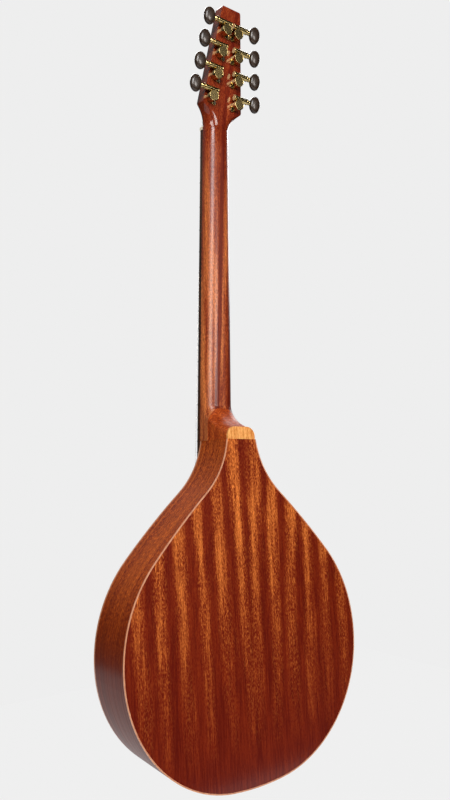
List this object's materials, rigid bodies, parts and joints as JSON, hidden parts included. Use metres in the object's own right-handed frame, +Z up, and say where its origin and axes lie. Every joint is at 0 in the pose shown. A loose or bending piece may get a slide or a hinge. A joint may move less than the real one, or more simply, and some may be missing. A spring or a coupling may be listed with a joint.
{
  "type": "bouzouki",
  "caption": "Flat-backed long-necked bouzouki with double string courses, a waisted pear-shaped body, a floating bridge, a tailpiece and sealed worm tuners with turning buttons and posts.",
  "frame": {"origin": "middle of the nut's fingerboard side, on the plane where the fingerboard is glued to the neck", "axes": "+Z up along the soundboard towards the headstock, +Y out of the back, +X the treble side (on the right, seen from the front)"},
  "size_m": [0.3288, 0.098, 0.9689],
  "materials": {
    "neck_wood": "glossy lacquered mahogany",
    "heel_wood": "glossy lacquered mahogany, lighter",
    "maple": "glossy lacquered maple",
    "rosewood": "oiled dark rosewood",
    "fret_silver": "polished nickel silver",
    "pearl": "mother-of-pearl look",
    "bone": "polished bone",
    "steel": "plain steel",
    "black_plastic": "polished",
    "gold": "gold-plated die casting, polished",
    "dark_screw": "dark plated",
    "spruce": "lacquered fine-grained spruce",
    "sapele": "glossy lacquered ribbon-striped sapele",
    "block_wood": "bare mahogany",
    "cream_binding": "cream binding under lacquer",
    "rosette_inlay": "inlaid rings under lacquer",
    "brown_plastic": "polished dark brown plastic",
    "string_wire": "plain and wound steel"
  },
  "bodies": {
    "body": {"neck": "neck_wood", "heel_block": "heel_wood", "heel_cap": "maple", "fingerboard": "rosewood", "frets": "fret_silver", "fret_markers": "pearl", "nut": "bone", "headstock_veneer": "rosewood", "truss_rod": "steel", "truss_rod_cover": "black_plastic", "truss_cover_screws": "gold", "soundboard": "spruce", "back_plate": "sapele", "bass_rib": "sapele", "treble_rib": "sapele", "neck_block": "block_wood", "tail_block": "block_wood", "linings": "block_wood", "top_braces": "spruce", "back_braces": "spruce", "top_binding": "cream_binding", "back_binding": "cream_binding", "rosette": "rosette_inlay", "bridge": "rosewood", "bridge_saddle": "bone", "tailpiece": "gold", "tailpiece_screws": "gold", "strap_button": "gold", "tuner_bushings": "gold", "tuner_screws": "dark_screw", "bass_tuner_housings": "gold", "treble_tuner_housings": "gold", "strings_course_1": "string_wire", "strings_course_2": "string_wire", "strings_course_3": "string_wire", "strings_course_4": "string_wire"},
    "key_bass_1": {"worm_shaft_bass_1": "gold", "tuner_button_bass_1": "brown_plastic"},
    "post_bass_1": {"post_bass_1": "gold"},
    "key_bass_2": {"worm_shaft_bass_2": "gold", "tuner_button_bass_2": "brown_plastic"},
    "post_bass_2": {"post_bass_2": "gold"},
    "key_bass_3": {"worm_shaft_bass_3": "gold", "tuner_button_bass_3": "brown_plastic"},
    "post_bass_3": {"post_bass_3": "gold"},
    "key_bass_4": {"worm_shaft_bass_4": "gold", "tuner_button_bass_4": "brown_plastic"},
    "post_bass_4": {"post_bass_4": "gold"},
    "key_treble_1": {"worm_shaft_treble_1": "gold", "tuner_button_treble_1": "brown_plastic"},
    "post_treble_1": {"post_treble_1": "gold"},
    "key_treble_2": {"worm_shaft_treble_2": "gold", "tuner_button_treble_2": "brown_plastic"},
    "post_treble_2": {"post_treble_2": "gold"},
    "key_treble_3": {"worm_shaft_treble_3": "gold", "tuner_button_treble_3": "brown_plastic"},
    "post_treble_3": {"post_treble_3": "gold"},
    "key_treble_4": {"worm_shaft_treble_4": "gold", "tuner_button_treble_4": "brown_plastic"},
    "post_treble_4": {"post_treble_4": "gold"}
  },
  "joints": [
    {"name": "key_turn_bass_1", "type": "hinge", "parent": "body", "child": "key_bass_1", "pos_m": [-0.0201, 0.02849, 0.04071], "axis": [-1, 0, 0], "continuous": true},
    {"name": "post_turn_bass_1", "type": "hinge", "parent": "body", "child": "post_bass_1", "pos_m": [-0.0201, 0.02108, 0.03349], "axis": [0, -0.9816, 0.1908], "continuous": true},
    {"name": "key_turn_bass_2", "type": "hinge", "parent": "body", "child": "key_bass_2", "pos_m": [-0.01637, 0.0341, 0.06957], "axis": [-1, 0, 0], "continuous": true},
    {"name": "post_turn_bass_2", "type": "hinge", "parent": "body", "child": "post_bass_2", "pos_m": [-0.01637, 0.02669, 0.06235], "axis": [0, -0.9816, 0.1908], "continuous": true},
    {"name": "key_turn_bass_3", "type": "hinge", "parent": "body", "child": "key_bass_3", "pos_m": [-0.01264, 0.03971, 0.09843], "axis": [-1, 0, 0], "continuous": true},
    {"name": "post_turn_bass_3", "type": "hinge", "parent": "body", "child": "post_bass_3", "pos_m": [-0.01264, 0.0323, 0.09121], "axis": [0, -0.9816, 0.1908], "continuous": true},
    {"name": "key_turn_bass_4", "type": "hinge", "parent": "body", "child": "key_bass_4", "pos_m": [-0.00891, 0.04532, 0.12729], "axis": [-1, 0, 0], "continuous": true},
    {"name": "post_turn_bass_4", "type": "hinge", "parent": "body", "child": "post_bass_4", "pos_m": [-0.00891, 0.03791, 0.12007], "axis": [0, -0.9816, 0.1908], "continuous": true},
    {"name": "key_turn_treble_1", "type": "hinge", "parent": "body", "child": "key_treble_1", "pos_m": [0.0201, 0.02849, 0.04071], "axis": [1, 0, 0], "continuous": true},
    {"name": "post_turn_treble_1", "type": "hinge", "parent": "body", "child": "post_treble_1", "pos_m": [0.0201, 0.02108, 0.03349], "axis": [0, -0.9816, 0.1908], "continuous": true},
    {"name": "key_turn_treble_2", "type": "hinge", "parent": "body", "child": "key_treble_2", "pos_m": [0.01637, 0.0341, 0.06957], "axis": [1, 0, 0], "continuous": true},
    {"name": "post_turn_treble_2", "type": "hinge", "parent": "body", "child": "post_treble_2", "pos_m": [0.01637, 0.02669, 0.06235], "axis": [0, -0.9816, 0.1908], "continuous": true},
    {"name": "key_turn_treble_3", "type": "hinge", "parent": "body", "child": "key_treble_3", "pos_m": [0.01264, 0.03971, 0.09843], "axis": [1, 0, 0], "continuous": true},
    {"name": "post_turn_treble_3", "type": "hinge", "parent": "body", "child": "post_treble_3", "pos_m": [0.01264, 0.0323, 0.09121], "axis": [0, -0.9816, 0.1908], "continuous": true},
    {"name": "key_turn_treble_4", "type": "hinge", "parent": "body", "child": "key_treble_4", "pos_m": [0.00891, 0.04532, 0.12729], "axis": [1, 0, 0], "continuous": true},
    {"name": "post_turn_treble_4", "type": "hinge", "parent": "body", "child": "post_treble_4", "pos_m": [0.00891, 0.03791, 0.12007], "axis": [0, -0.9816, 0.1908], "continuous": true}
  ],
  "couplings": [
    {"joint": "post_turn_bass_1", "follows": "key_turn_bass_1", "ratio": -0.071429},
    {"joint": "post_turn_bass_2", "follows": "key_turn_bass_2", "ratio": -0.071429},
    {"joint": "post_turn_bass_3", "follows": "key_turn_bass_3", "ratio": -0.071429},
    {"joint": "post_turn_bass_4", "follows": "key_turn_bass_4", "ratio": -0.071429},
    {"joint": "post_turn_treble_1", "follows": "key_turn_treble_1", "ratio": -0.071429},
    {"joint": "post_turn_treble_2", "follows": "key_turn_treble_2", "ratio": -0.071429},
    {"joint": "post_turn_treble_3", "follows": "key_turn_treble_3", "ratio": -0.071429},
    {"joint": "post_turn_treble_4", "follows": "key_turn_treble_4", "ratio": -0.071429}
  ]
}
